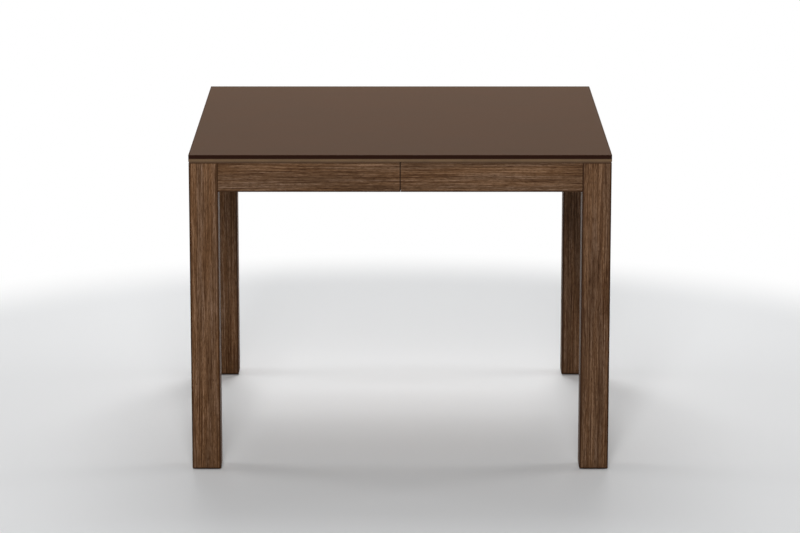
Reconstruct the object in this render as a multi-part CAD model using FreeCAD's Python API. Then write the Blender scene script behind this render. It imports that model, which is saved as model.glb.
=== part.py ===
import FreeCAD, Part
import math
import os

# An extending parsons dining table. The glass top and the left half of the frame stay where they are.
# The right half draws out along +X on two telescopic runners and carries the stored leaf with it.
# X is the way it opens, -Y is the photographed front and Z is up from the floor, in millimetres.

# Whole table
table_width = 990.0
table_depth = 990.0
table_height = 762.0
split_gap = 2.0
overrun = 2.0
near = 1e-6

# Top
glass_thickness = 9.5
glass_corner_radius = 2.0
glass_arris = 0.6
sub_top_thickness = 7.0
sub_top_edge_radius = 0.7
shadow_gap = 3.0
frame_inset = 0.5

# Legs
leg_size = 68.0
leg_edge_radius = 1.2
leg_toe_chamfer = 2.0
leg_seat = 8.0
leg_seat_below_bracket = 4.0

# Aprons and their stub tenons
apron_height = 68.5
apron_thickness = 22.0
apron_edge_radius = 0.8
tenon_length = 24.0
tenon_thickness = 9.0
tenon_height = 44.0
tenon_end_room = 1.0
joint_clearance = 0.1

# Cross rails, housed into the side aprons
cross_rail_width = 50.0
cross_rail_thickness = 14.0
cross_rail_edge_radius = 1.5
cross_rail_housing = 4.5
inner_rail_offset = 20.0
outer_rail_room = 33.0

# Corner brackets with their bolts
bracket_sheet = 2.5
bracket_height = 44.0
bracket_flange = 32.0
bracket_gap = 11.0
bracket_corner_radius = 4.0
bracket_screw_spacing = 24.0
bracket_screw_share = 0.6
bolt_radius = 4.0
bolt_in_leg = 42.0
bolt_tail = 5.0
bolt_end_chamfer = 0.8
bolt_hole_clearance = 0.4
thread_clearance = 0.05
washer_radius = 9.0
washer_thickness = 1.6
nut_across_flats = 13.0
nut_height = 6.5
nut_chamfer = 0.7

# Screws
screw_radius = 2.0
screw_head_radius = 4.2
screw_head_height = 2.0
screw_head_chamfer = 1.0
screw_tip_length = 3.0
screw_tip_radius = 0.5
bracket_screw_length = 16.0
screw_depth_in_sub_top = 5.0
screw_short_of_channel = 0.4

# Runners: a channel on each half with a middle beam caught between them
channel_height = 34.0
channel_depth = 20.0
channel_wall = 2.5
channel_lip = 6.0
channel_spacing = 4.0
channel_corner_radius = 1.0
beam_side_clearance = 1.0
beam_neck_height = 16.0
beam_wall = 2.4
shoe_thickness = 1.7
shoe_length = 60.0
slide_clearance = 0.3
runner_set_in = 128.0
runner_end_room = 52.5
runner_screw_spacing = 26.0
runner_stop_length = 30.0
shim_thickness = 2.0

# Bearers that carry the top on the fixed channels
bearer_thickness = 12.5
bearer_overhang = 14.0
bearer_edge_radius = 1.5
bearer_screw_end_room = 40.0
bearer_screw_count = 4

# Strips in the shadow gap
gap_strip_width = 8.0
gap_strip_set_back = 1.2
gap_strip_edge_radius = 0.4
glide_clearance = 0.2

# Strips behind the seams of the side aprons
seam_strip_thickness = 2.5
seam_strip_from_rail = 4.0
seam_strip_end_room = 0.5
seam_tongue_clearance = 0.3
seam_tongue_set_back = 0.8

# Foot glides
foot_glide_radius = 15.0
foot_glide_thickness = 2.4
foot_glide_chamfer = 0.8
foot_nail_radius = 2.0
foot_nail_length = 18.0

# Pins that line up the two halves of the side aprons
pin_radius = 4.0
pin_depth = 18.0
pin_reach = 14.0
pin_taper_length = 4.0
pin_taper = 1.5
pin_half_spacing = 20.0
pin_clearance = 0.3
bush_wall = 1.7
bush_length = 18.0

# Locks under the inner cross rails
lock_set_in = 22.5
lock_arm = 90.0
lock_boss_radius = 10.0
lock_neck = 9.0
lock_bar_width = 10.0
lock_hook_width = 10.0
lock_hook_reach = 6.0
lock_edge_radius = 2.0
lock_lever_thickness = 3.0
lock_plate_length = 42.0
lock_plate_width = 38.0
lock_plate_thickness = 1.6
lock_plate_corner_radius = 5.0
lock_plate_screw_room = 5.5
lock_plate_screw_length = 10.0
lock_knob_radius = 5.0
lock_knob_height = 4.0
lock_knob_chamfer = 0.8
lock_pivot_radius = 4.0
lock_pivot_head_radius = 7.5
lock_pivot_head_height = 2.0
lock_pivot_clearance = 0.08
lock_pin_embed = 10.0
lock_stud_radius = 4.0
lock_stud_clearance = 1.2
lock_parked_angle = 90.0

# Stored leaf, in two halves one above the other
leaf_fit = 0.5
leaf_from_split = 25.0
leaf_end_room = 8.0
felt_thickness = 2.0
felt_width = 30.0
felt_length = 120.0

# Levels
glass_bottom = table_height - glass_thickness
sub_top_bottom = glass_bottom - sub_top_thickness
frame_top = sub_top_bottom - shadow_gap
frame_bottom = frame_top - apron_height
frame_middle = (frame_top + frame_bottom) / 2
leg_bottom = foot_glide_thickness
channel_top = sub_top_bottom - bearer_thickness
channel_bottom = channel_top - channel_height
channel_middle = channel_bottom + channel_height / 2
rail_top = channel_bottom - shim_thickness
rail_bottom = rail_top - cross_rail_thickness
bracket_bottom = frame_middle - bracket_height / 2
lock_lever_top = rail_bottom - lock_plate_thickness - slide_clearance
lock_lever_bottom = lock_lever_top - lock_lever_thickness

# Places, given as distances from the middle of the table
frame_x = table_width / 2 - frame_inset
frame_y = table_depth / 2 - frame_inset
leg_in_x = frame_x - leg_size
leg_in_y = frame_y - leg_size
apron_in_x = frame_x - apron_thickness
apron_in_y = frame_y - apron_thickness
apron_middle_x = frame_x - apron_thickness / 2
apron_middle_y = frame_y - apron_thickness / 2
runner_y = apron_in_y - runner_set_in
runner_end = apron_in_x - runner_end_room
lock_x = inner_rail_offset + cross_rail_width / 2
lock_y = apron_in_y - lock_set_in
leg_proud = leg_size - apron_thickness
bracket_span = leg_proud * 2 + bracket_gap * math.sqrt(2)
bracket_tip = bracket_span + bracket_flange
outer_rail_offset = apron_in_x - bracket_tip - outer_rail_room - cross_rail_width
rail_starts = {"inner": inner_rail_offset, "outer": outer_rail_offset}
leaf_start = leaf_from_split
leaf_end = apron_in_x - leaf_end_room
beam_travel = (leaf_end - leaf_start + leaf_fit) / 2

X_AXIS = FreeCAD.Vector(1, 0, 0)
Y_AXIS = FreeCAD.Vector(0, 1, 0)
Z_AXIS = FreeCAD.Vector(0, 0, 1)
ORIGIN = FreeCAD.Vector(0, 0, 0)


# Shapes that several pieces share

def block(x0, x1, y0, y1, z0, z1):
    """A box between two corners."""
    return Part.makeBox(x1 - x0, y1 - y0, z1 - z0, FreeCAD.Vector(x0, y0, z0))


def eased(shape, radius, edges=None):
    """The shape with the given edges, or all of them, rounded over."""
    return shape.makeFillet(radius, edges or shape.Edges).Solids[0]


def edges_along(shape, axis):
    """Straight edges that run along an axis."""
    found = []
    for edge in shape.Edges:
        run = edge.Vertexes[-1].Point - edge.Vertexes[0].Point
        if run.Length > 0 and run.cross(axis).Length < run.Length * near:
            found.append(edge)
    return found


def edges_at_height(shape, z):
    """Edges that lie level at one height."""
    return [e for e in shape.Edges if abs(e.BoundBox.ZMin - z) < near and abs(e.BoundBox.ZMax - z) < near]


def prism(points, direction):
    """A closed outline of points, drawn out along a vector."""
    outline = Part.makePolygon(points + points[:1])
    return Part.Face(outline).extrude(direction)


def run_along_x(section, x0, x1):
    """A section given as (y, z) points, run from x0 to x1."""
    points = [FreeCAD.Vector(x0, y, z) for y, z in section]
    return prism(points, X_AXIS * (x1 - x0))


def cut_all(shape, cutters):
    """The shape less each cutter."""
    return shape.cut(cutters).Solids[0]


def to_back(shape):
    """The mirror image across the table's long middle plane."""
    return shape.mirror(ORIGIN, Y_AXIS)


def to_right(shape):
    """The mirror image across the split."""
    return shape.mirror(ORIGIN, X_AXIS)


def front_and_back(shape):
    """A front piece together with its mirror image at the back."""
    return [shape, to_back(shape)]


def screw(seat, direction, length):
    """A pan-head screw driven from its seat along a direction."""
    head_base = seat - direction * screw_head_height
    head = Part.makeCylinder(screw_head_radius, screw_head_height, head_base, direction)
    rim = [e for e in head.Edges if e.Closed and e.CenterOfMass.isEqual(head_base, near)]
    head = head.makeChamfer(screw_head_chamfer, rim)
    shank_length = length - screw_tip_length
    shank = Part.makeCylinder(screw_radius, shank_length, seat, direction)
    tip_base = seat + direction * shank_length
    tip = Part.makeCone(screw_radius, screw_tip_radius, screw_tip_length, tip_base, direction)
    return head.fuse([shank, tip]).removeSplitter().Solids[0]


def screw_hole(seat, direction, length):
    """The hole that a screw passes through, with a running start above its seat."""
    start = seat - direction * overrun
    depth = length + overrun + screw_tip_length
    return Part.makeCylinder(screw_radius + thread_clearance, depth, start, direction)


# Top: one sheet of glass bonded to a thin board

def glass_sheet(x0, x1, y0, y1, z0):
    """A sheet of glass with rounded corners and polished arrises."""
    sheet = block(x0, x1, y0, y1, z0, z0 + glass_thickness)
    sheet = eased(sheet, glass_corner_radius, edges_along(sheet, Z_AXIS))
    rims = edges_at_height(sheet, z0) + edges_at_height(sheet, z0 + glass_thickness)
    return sheet.makeChamfer(glass_arris, rims).Solids[0]


def backing_board(x0, x1, y0, y1, z0):
    """The board under a sheet of glass."""
    board = block(x0, x1, y0, y1, z0, z0 + sub_top_thickness)
    board = eased(board, glass_corner_radius, edges_along(board, Z_AXIS))
    return eased(board, sub_top_edge_radius, edges_at_height(board, z0))


def top_nodes():
    half_x = table_width / 2
    half_y = table_depth / 2
    holes = [screw_hole(seat, Z_AXIS, bearer_screw_length) for seat in bearer_screw_seats()]
    return {
        "glass_top": glass_sheet(-half_x, half_x, -half_y, half_y, glass_bottom),
        "sub_top": cut_all(backing_board(-half_x, half_x, -half_y, half_y, sub_top_bottom), holes),
    }


# Corner: bracket, bolt, washer and nut, worked out at the front left.
# Distances a and b run from the inside corner of the aprons, along the side and along the end.

diagonal = FreeCAD.Vector(1, 1, 0).normalize()


def corner_point(a, b, z):
    return FreeCAD.Vector(a - apron_in_x, b - apron_in_y, z)


bolt_seat = corner_point(leg_proud - leg_seat / 2, leg_proud - leg_seat / 2, frame_middle)
bracket_face = corner_point(bracket_span / 2, bracket_span / 2, frame_middle)


def corner_screw_seats():
    """Two screws through each bracket flange: (seat, direction) pairs."""
    along = bracket_span + bracket_flange * bracket_screw_share
    seats = []
    for side in (-1, 1):
        z = frame_middle + side * bracket_screw_spacing / 2
        seats.append((corner_point(along, bracket_sheet, z), -Y_AXIS))
        seats.append((corner_point(bracket_sheet, along, z), -X_AXIS))
    return seats


def corner_screw_holes():
    return [screw_hole(seat, way, bracket_screw_length) for seat, way in corner_screw_seats()]


def corner_bracket():
    """Pressed steel: a diagonal web with a flange on each apron."""
    bend = bracket_sheet * (math.sqrt(2) - 1)
    outline = [
        (bracket_tip, 0),
        (bracket_tip, bracket_sheet),
        (bracket_span + bend, bracket_sheet),
        (bracket_sheet, bracket_span + bend),
        (bracket_sheet, bracket_tip),
        (0, bracket_tip),
        (0, bracket_span),
        (bracket_span, 0),
    ]
    points = [corner_point(a, b, bracket_bottom) for a, b in outline]
    plate = prism(points, Z_AXIS * bracket_height)
    tip_ends = [corner_point(bracket_tip, 0, 0).x, corner_point(0, bracket_tip, 0).y]
    corners = []
    for edge in plate.Edges:
        level = abs(edge.BoundBox.ZLength) < near
        at_side_tip = level and abs(edge.BoundBox.XMin - tip_ends[0]) < near
        at_end_tip = level and abs(edge.BoundBox.YMin - tip_ends[1]) < near
        if at_side_tip or at_end_tip:
            corners.append(edge)
    plate = eased(plate, bracket_corner_radius, corners)
    bolt_hole = Part.makeCylinder(
        bolt_radius + bolt_hole_clearance,
        bracket_sheet + overrun * 2,
        bracket_face - diagonal * overrun,
        diagonal,
    )
    return cut_all(plate, corner_screw_holes() + [bolt_hole])


def hanger_bolt():
    """Screwed into the leg's inner corner, it passes the bracket, washer and nut."""
    to_bracket = bracket_face.distanceToPoint(bolt_seat)
    outside = to_bracket + bracket_sheet + washer_thickness + nut_height + bolt_tail
    bolt = Part.makeCylinder(bolt_radius, bolt_in_leg + outside, bolt_seat - diagonal * bolt_in_leg, diagonal)
    rims = [e for e in bolt.Edges if e.Closed]
    return bolt.makeChamfer(bolt_end_chamfer, rims).Solids[0]


def bolt_bore(length):
    """The way of the bolt through the pieces that sit on it, from the bracket outwards."""
    return Part.makeCylinder(bolt_radius + thread_clearance, length, bracket_face, diagonal)


def bolt_washer():
    seat = bracket_face + diagonal * bracket_sheet
    disc = Part.makeCylinder(washer_radius, washer_thickness, seat, diagonal)
    bore = Part.makeCylinder(bolt_radius + bolt_hole_clearance, washer_thickness, seat, diagonal)
    return disc.cut(bore).Solids[0]


def bolt_nut():
    """A hexagon nut with its corners turned down at both ends."""
    seat = bracket_face + diagonal * (bracket_sheet + washer_thickness)
    corner_radius = nut_across_flats / math.sqrt(3)
    across = diagonal.cross(Z_AXIS)
    points = []
    for k in range(6):
        turn = math.radians(60 * k)
        spoke = across * math.cos(turn) + Z_AXIS * math.sin(turn)
        points.append(seat + spoke * corner_radius)
    hexagon = prism(points, diagonal * nut_height)
    blank = Part.makeCylinder(corner_radius, nut_height, seat, diagonal)
    blank = blank.makeChamfer(nut_chamfer, [e for e in blank.Edges if e.Closed])
    nut = hexagon.common(blank)
    bore_length = bracket_sheet + washer_thickness + nut_height + overrun
    return nut.cut(bolt_bore(bore_length)).Solids[0]


def corner_nodes(half):
    pieces = {
        "corner_brackets": [corner_bracket()],
        "hanger_bolts": [hanger_bolt()],
        "bolt_washers": [bolt_washer()],
        "bolt_nuts": [bolt_nut()],
        "bracket_screws": [screw(seat, way, bracket_screw_length) for seat, way in corner_screw_seats()],
    }
    nodes = {}
    for name, shapes in pieces.items():
        both = [copy for shape in shapes for copy in front_and_back(shape)]
        nodes[f"{name}_{half}"] = Part.makeCompound([on_half(shape, half) for shape in both])
    return nodes


def on_half(shape, half):
    """A piece drawn for the left half, put on the half that is named."""
    return to_right(shape) if half == "right" else shape


# Legs: square posts with eased edges, mortised for the aprons

def tenon(room, end_room):
    """The front left leg's two tenons, or their mortises when room is left around them."""
    z0 = frame_middle - tenon_height / 2 - room
    z1 = frame_middle + tenon_height / 2 + room
    half = tenon_thickness / 2 + room
    reach = tenon_length + end_room
    side = block(-leg_in_x - reach, -leg_in_x, -apron_middle_y - half, -apron_middle_y + half, z0, z1)
    end = block(-apron_middle_x - half, -apron_middle_x + half, -leg_in_y - reach, -leg_in_y, z0, z1)
    return side, end


def front_left_leg():
    leg = block(-frame_x, -leg_in_x, -frame_y, -leg_in_y, leg_bottom, frame_top)
    leg = leg.makeChamfer(leg_toe_chamfer, edges_at_height(leg, leg_bottom)).Solids[0]
    leg = eased(leg, leg_edge_radius, [e for e in leg.Edges if e.BoundBox.ZLength > near])
    seat_z = bracket_bottom - leg_seat_below_bracket
    seat_outline = [
        corner_point(leg_proud + overrun, leg_proud - leg_seat - overrun, seat_z),
        corner_point(leg_proud + overrun, leg_proud + overrun, seat_z),
        corner_point(leg_proud - leg_seat - overrun, leg_proud + overrun, seat_z),
    ]
    seat = prism(seat_outline, Z_AXIS * (frame_top - seat_z + overrun))
    bolt_way = Part.makeCylinder(
        bolt_radius + thread_clearance,
        bolt_in_leg + overrun,
        bolt_seat - diagonal * bolt_in_leg,
        diagonal,
    )
    nail_way = Part.makeCylinder(foot_nail_radius + thread_clearance, foot_nail_length, leg_foot_centre())
    return cut_all(leg, [seat, bolt_way, nail_way, *tenon(joint_clearance, tenon_end_room)])


def leg_foot_centre():
    return FreeCAD.Vector(-frame_x + leg_size / 2, -frame_y + leg_size / 2, leg_bottom)


def front_left_glide():
    """A nylon foot glide with its nail."""
    base = leg_foot_centre() - Z_AXIS * foot_glide_thickness
    disc = Part.makeCylinder(foot_glide_radius, foot_glide_thickness, base)
    disc = disc.makeChamfer(foot_glide_chamfer, edges_at_height(disc, base.z))
    nail = Part.makeCylinder(foot_nail_radius, foot_nail_length, leg_foot_centre())
    return disc.fuse(nail).removeSplitter().Solids[0]


def leg_nodes(half):
    leg = front_left_leg()
    glides = front_and_back(front_left_glide())
    return {
        f"leg_front_{half}": on_half(leg, half),
        f"leg_back_{half}": on_half(to_back(leg), half),
        f"foot_glides_{half}": Part.makeCompound([on_half(glide, half) for glide in glides]),
    }


# Aprons: boards flush with the legs, tenoned into them, the side ones open at the split

def pin_places():
    """Middle of each lining-up pin on the split face of the front apron."""
    return [
        FreeCAD.Vector(-split_gap / 2, -apron_middle_y, frame_middle + side * pin_half_spacing)
        for side in (-1, 1)
    ]


def rail_housings():
    """The housings for both cross rails in the inner face of the front left apron."""
    cuts = []
    for start in rail_starts.values():
        x0 = -start - cross_rail_width - joint_clearance
        x1 = -start + joint_clearance
        y0 = -apron_in_y - cross_rail_housing
        cuts.append(block(x0, x1, y0, -apron_in_y + overrun, rail_bottom, rail_top + joint_clearance))
    return cuts


def front_apron(half):
    board = block(-leg_in_x, -split_gap / 2, -frame_y, -apron_in_y, frame_bottom, frame_top)
    board = eased(board, apron_edge_radius)
    board = board.fuse(tenon(0, 0)[0]).removeSplitter()
    if half == "left":
        bore = pin_radius + thread_clearance
        depth = pin_depth
    else:
        bore = pin_radius + pin_clearance + bush_wall + thread_clearance
        depth = bush_length
    pin_bores = []
    for place in pin_places():
        pin_bores.append(Part.makeCylinder(bore, depth + overrun, place + X_AXIS * overrun, -X_AXIS))
    return cut_all(board, corner_screw_holes() + pin_bores + rail_housings())


def end_apron():
    board = block(-frame_x, -apron_in_x, -leg_in_y, leg_in_y, frame_bottom, frame_top)
    board = eased(board, apron_edge_radius)
    end_tenon = tenon(0, 0)[1]
    board = board.fuse(front_and_back(end_tenon)).removeSplitter()
    holes = [copy for hole in corner_screw_holes() for copy in front_and_back(hole)]
    return cut_all(board, holes)


def apron_nodes(half):
    side = front_apron(half)
    return {
        f"apron_front_{half}": on_half(side, half),
        f"apron_back_{half}": on_half(to_back(side), half),
        f"apron_end_{half}": on_half(end_apron(), half),
    }


# Lining-up pins on the left aprons and their bushes in the right ones

def pin_nodes():
    pins = []
    bushes = []
    for place in pin_places():
        straight = pin_depth + split_gap + pin_reach - pin_taper_length
        body = Part.makeCylinder(pin_radius, straight, place - X_AXIS * pin_depth, X_AXIS)
        taper_base = place + X_AXIS * (straight - pin_depth)
        taper = Part.makeCone(pin_radius, pin_radius - pin_taper, pin_taper_length, taper_base, X_AXIS)
        pins += front_and_back(body.fuse(taper).removeSplitter().Solids[0])
        mouth = place + X_AXIS * split_gap
        outer = Part.makeCylinder(pin_radius + pin_clearance + bush_wall, bush_length, mouth, X_AXIS)
        bore = Part.makeCylinder(pin_radius + pin_clearance, bush_length, mouth, X_AXIS)
        bushes += front_and_back(outer.cut(bore).Solids[0])
    return {"alignment_pins": Part.makeCompound(pins), "alignment_bushes": Part.makeCompound(bushes)}


# Cross rails: they tie the side aprons together and carry the runners

def left_rail(start):
    half_length = apron_in_y + cross_rail_housing
    rail = block(-start - cross_rail_width, -start, -half_length, half_length, rail_bottom, rail_top)
    return eased(rail, cross_rail_edge_radius, edges_along(rail, Y_AXIS))


def rail_nodes(half):
    channel_y = -runner_y + channel_middle_offset[half]
    nodes = {}
    for name, start in rail_starts.items():
        holes = []
        for seat in runner_screw_seats(start, channel_y):
            holes += front_and_back(screw_hole(seat, Z_AXIS, runner_screw_length))
        if name == "inner":
            holes += front_and_back(lock_pin_bore(half))
        if name == "inner" and half == "left":
            for hole in lock_plate_screw_holes():
                holes += front_and_back(hole)
        nodes[f"cross_rail_{half}_{name}"] = on_half(cut_all(left_rail(start), holes), half)
    return nodes


# Runners: the fixed channel is outermost, the middle beam lies between it and the moving channel.
# Offsets are measured inwards from the fixed channel's web, at the front.

moving_channel_start = channel_depth + channel_spacing
runner_width = moving_channel_start + channel_depth
channel_middle_offset = {"left": channel_depth / 2, "right": moving_channel_start + channel_depth / 2}
runner_screw_length = cross_rail_thickness + shim_thickness + channel_wall - screw_short_of_channel
head_height = channel_height - (channel_wall + shoe_thickness + slide_clearance) * 2
head_start = channel_wall + beam_side_clearance
head_end = channel_depth - channel_wall - beam_side_clearance


def runner_screw_seats(start, channel_y):
    """Two screws from under a left rail up into the channel above it."""
    middle = -start - cross_rail_width / 2
    return [
        FreeCAD.Vector(middle + side * runner_screw_spacing / 2, channel_y, rail_bottom)
        for side in (-1, 1)
    ]


def fixed_channel():
    """Aluminium channel with lips, open towards the middle of the table."""
    lip_face = channel_depth - channel_wall
    half_outline = [
        (0, 0),
        (channel_depth, 0),
        (channel_depth, channel_lip),
        (lip_face, channel_lip),
        (lip_face, channel_wall),
        (channel_wall, channel_wall),
    ]
    lower = [(u - runner_y, channel_bottom + v) for u, v in half_outline]
    upper = [(u - runner_y, channel_top - v) for u, v in reversed(half_outline)]
    channel = run_along_x(lower + upper, -runner_end, runner_end)
    outer_edges = []
    for edge in edges_along(channel, X_AXIS):
        level = edge.BoundBox.ZMin
        if abs(level - channel_bottom) < near or abs(level - channel_top) < near:
            outer_edges.append(edge)
    return eased(channel, channel_corner_radius, outer_edges)


def moving_channel():
    """The same section turned about, so that it opens towards the fixed one."""
    return fixed_channel().mirror(FreeCAD.Vector(0, -runner_y + runner_width / 2, 0), Y_AXIS)


def middle_beam():
    """Two hollow heads, one in each channel, joined by a neck that passes both pairs of lips."""
    head_low = channel_middle - head_height / 2
    head_high = channel_middle + head_height / 2
    neck_low = channel_middle - beam_neck_height / 2
    neck_high = channel_middle + beam_neck_height / 2
    stations = [head_start, head_end, runner_width - head_end, runner_width - head_start]
    lower = [
        (stations[0], head_low),
        (stations[1], head_low),
        (stations[1], neck_low),
        (stations[2], neck_low),
        (stations[2], head_low),
        (stations[3], head_low),
    ]
    upper = [
        (stations[3], head_high),
        (stations[2], head_high),
        (stations[2], neck_high),
        (stations[1], neck_high),
        (stations[1], head_high),
        (stations[0], head_high),
    ]
    beam = run_along_x([(u - runner_y, z) for u, z in lower + upper], -runner_end, runner_end)
    hollows = []
    for u0, u1 in ((stations[0], stations[1]), (stations[2], stations[3])):
        hollows.append(block(
            -runner_end - overrun,
            runner_end + overrun,
            u0 + beam_wall - runner_y,
            u1 - beam_wall - runner_y,
            head_low + beam_wall,
            head_high - beam_wall,
        ))
    return cut_all(beam, hollows)


def shoe_pair(x0, x1, u0, on_beam):
    """Nylon pads above and below a beam head, fixed to the beam or to the channel around it."""
    gap_from_channel = slide_clearance if on_beam else 0
    y0 = u0 - runner_y
    y1 = y0 + head_end - head_start
    low = channel_bottom + channel_wall + gap_from_channel
    high = channel_top - channel_wall - gap_from_channel
    lower = block(x0, x1, y0, y1, low, low + shoe_thickness)
    upper = block(x0, x1, y0, y1, high - shoe_thickness, high)
    return [lower, upper]


def shims(half):
    """Plates that lift a channel clear of the other half's rails."""
    channel_y = -runner_y + channel_middle_offset[half]
    plates = []
    for start in rail_starts.values():
        plate = block(
            -start - cross_rail_width + cross_rail_edge_radius,
            -start - cross_rail_edge_radius,
            channel_y - channel_depth / 2 + channel_corner_radius,
            channel_y + channel_depth / 2 - channel_corner_radius,
            rail_top,
            channel_bottom,
        )
        seats = runner_screw_seats(start, channel_y)
        holes = [screw_hole(seat, Z_AXIS, runner_screw_length) for seat in seats]
        plates += front_and_back(cut_all(plate, holes))
    return plates


def runner_nodes():
    nodes = {}
    channels = {"left": fixed_channel(), "right": moving_channel()}
    names = {"left": "runner_channel", "right": "runner_slide"}
    for half, channel in channels.items():
        channel_y = -runner_y + channel_middle_offset[half]
        holes = []
        screws = []
        for start in rail_starts.values():
            for seat in runner_screw_seats(start, channel_y):
                place = seat if half == "left" else FreeCAD.Vector(-seat.x, seat.y, seat.z)
                holes.append(screw_hole(place, Z_AXIS, runner_screw_length))
                screws += front_and_back(screw(place, Z_AXIS, runner_screw_length))
        channel = cut_all(channel, holes)
        nodes[f"{names[half]}_front"] = channel
        nodes[f"{names[half]}_back"] = to_back(channel)
        nodes[f"runner_screws_{half}"] = Part.makeCompound(screws)
        nodes[f"runner_shims_{half}"] = Part.makeCompound([on_half(s, half) for s in shims(half)])

    beam = middle_beam()
    nodes["runner_middle_front"] = beam
    nodes["runner_middle_back"] = to_back(beam)

    mouth = runner_end - shoe_length
    tail = -mouth
    inner_head = runner_width - head_end
    stop = mouth - beam_travel - slide_clearance
    shoes = {
        "fixed": shoe_pair(mouth, runner_end, head_start, False),
        "middle": [
            *shoe_pair(-runner_end, tail, head_start, True),
            *shoe_pair(mouth, runner_end, inner_head, True),
            *shoe_pair(stop - runner_stop_length, stop, head_start, True),
            *shoe_pair(-stop, runner_stop_length - stop, inner_head, True),
        ],
        "moving": shoe_pair(-runner_end, tail, inner_head, False),
    }
    for name, pads in shoes.items():
        nodes[f"runner_shoes_{name}"] = Part.makeCompound([c for pad in pads for c in front_and_back(pad)])
    return nodes


# Bearers: strips on the fixed channels that carry the top past the split

bearer_screw_length = bearer_thickness + screw_depth_in_sub_top


def front_bearer_screw_seats():
    first = -runner_end + bearer_screw_end_room
    step = (runner_end - bearer_screw_end_room) * 2 / (bearer_screw_count - 1)
    y = -runner_y - bearer_overhang / 2
    return [FreeCAD.Vector(first + step * k, y, channel_top) for k in range(bearer_screw_count)]


def bearer_screw_seats():
    """Seats of the front and the back bearer's screws."""
    front = front_bearer_screw_seats()
    return front + [FreeCAD.Vector(s.x, -s.y, s.z) for s in front]


def bearer_nodes():
    y0 = -runner_y - bearer_overhang
    y1 = -runner_y + channel_depth
    strip = block(-runner_end, runner_end, y0, y1, channel_top, sub_top_bottom)
    lower_edges = [e for e in edges_along(strip, X_AXIS) if abs(e.BoundBox.ZMin - channel_top) < near]
    strip = eased(strip, bearer_edge_radius, lower_edges)
    holes = [screw_hole(seat, Z_AXIS, bearer_screw_length) for seat in front_bearer_screw_seats()]
    strip = cut_all(strip, holes)
    screws = [screw(seat, Z_AXIS, bearer_screw_length) for seat in bearer_screw_seats()]
    return {
        "top_bearer_front": strip,
        "top_bearer_back": to_back(strip),
        "bearer_screws": Part.makeCompound(screws),
    }


# Strips in the shadow gap: the top rests on the left ones and the right ones slide under it

def gap_strips(thickness):
    """Strips along the upper edge of the left half: front, back and end."""
    out_x = frame_x - gap_strip_set_back
    out_y = frame_y - gap_strip_set_back
    in_x = out_x - gap_strip_width
    in_y = out_y - gap_strip_width
    top = frame_top + thickness
    front = block(-out_x, -split_gap / 2, -out_y, -in_y, frame_top, top)
    end = block(-out_x, -in_x, -in_y, in_y, frame_top, top)
    strips = [*front_and_back(front), end]
    return [eased(strip, gap_strip_edge_radius, edges_at_height(strip, top)) for strip in strips]


def gap_strip_nodes():
    left = gap_strips(shadow_gap)
    right = [to_right(strip) for strip in gap_strips(shadow_gap - glide_clearance)]
    return {"rest_strips_left": Part.makeCompound(left), "glide_strips_right": Part.makeCompound(right)}


# Seam strips: glued behind the left side aprons and into the seam, so that no light shows through it

def seam_strip():
    """The front strip, relieved where the right apron slides past it. A tongue on it fills the seam from top
    to bottom, against the left split face, and the lining-up pins pass through it."""
    half_width = inner_rail_offset - seam_strip_from_rail
    inside = seam_strip_thickness - apron_in_y
    z0 = frame_bottom + seam_strip_end_room
    z1 = frame_top - seam_strip_end_room
    strip = block(-half_width, half_width, -apron_in_y, inside, z0, z1)
    relief = block(
        -split_gap / 2,
        half_width + overrun,
        -apron_in_y - overrun,
        slide_clearance - apron_in_y,
        z0 - overrun,
        z1 + overrun,
    )
    strip = cut_all(strip, [relief])
    tongue = block(
        -split_gap / 2,
        split_gap / 2 - seam_tongue_clearance,
        seam_tongue_set_back - frame_y,
        inside,
        frame_bottom,
        frame_top,
    )
    strip = strip.fuse(tongue).removeSplitter()
    pin_ways = []
    for place in pin_places():
        start = place - X_AXIS * overrun
        way = Part.makeCylinder(pin_radius + thread_clearance, split_gap + overrun * 2, start, X_AXIS)
        pin_ways.append(way)
    return cut_all(strip, pin_ways)


def seam_strip_nodes():
    return {"seam_strips": Part.makeCompound(front_and_back(seam_strip()))}


# Locks: a flat lever with a finger knob turns on the left inner rail and hooks a stud on the right one.
# They are drawn at the front, parked along the rail.

lock_pivot = FreeCAD.Vector(-lock_x, -lock_y, rail_bottom)


def lock_pin_bore(half):
    """The bore in the left-hand drawing of an inner rail for the pivot or the stud."""
    radius = lock_pivot_radius if half == "left" else lock_stud_radius
    start = lock_pivot - Z_AXIS * overrun
    return Part.makeCylinder(radius + thread_clearance, lock_pin_embed + overrun, start)


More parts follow.
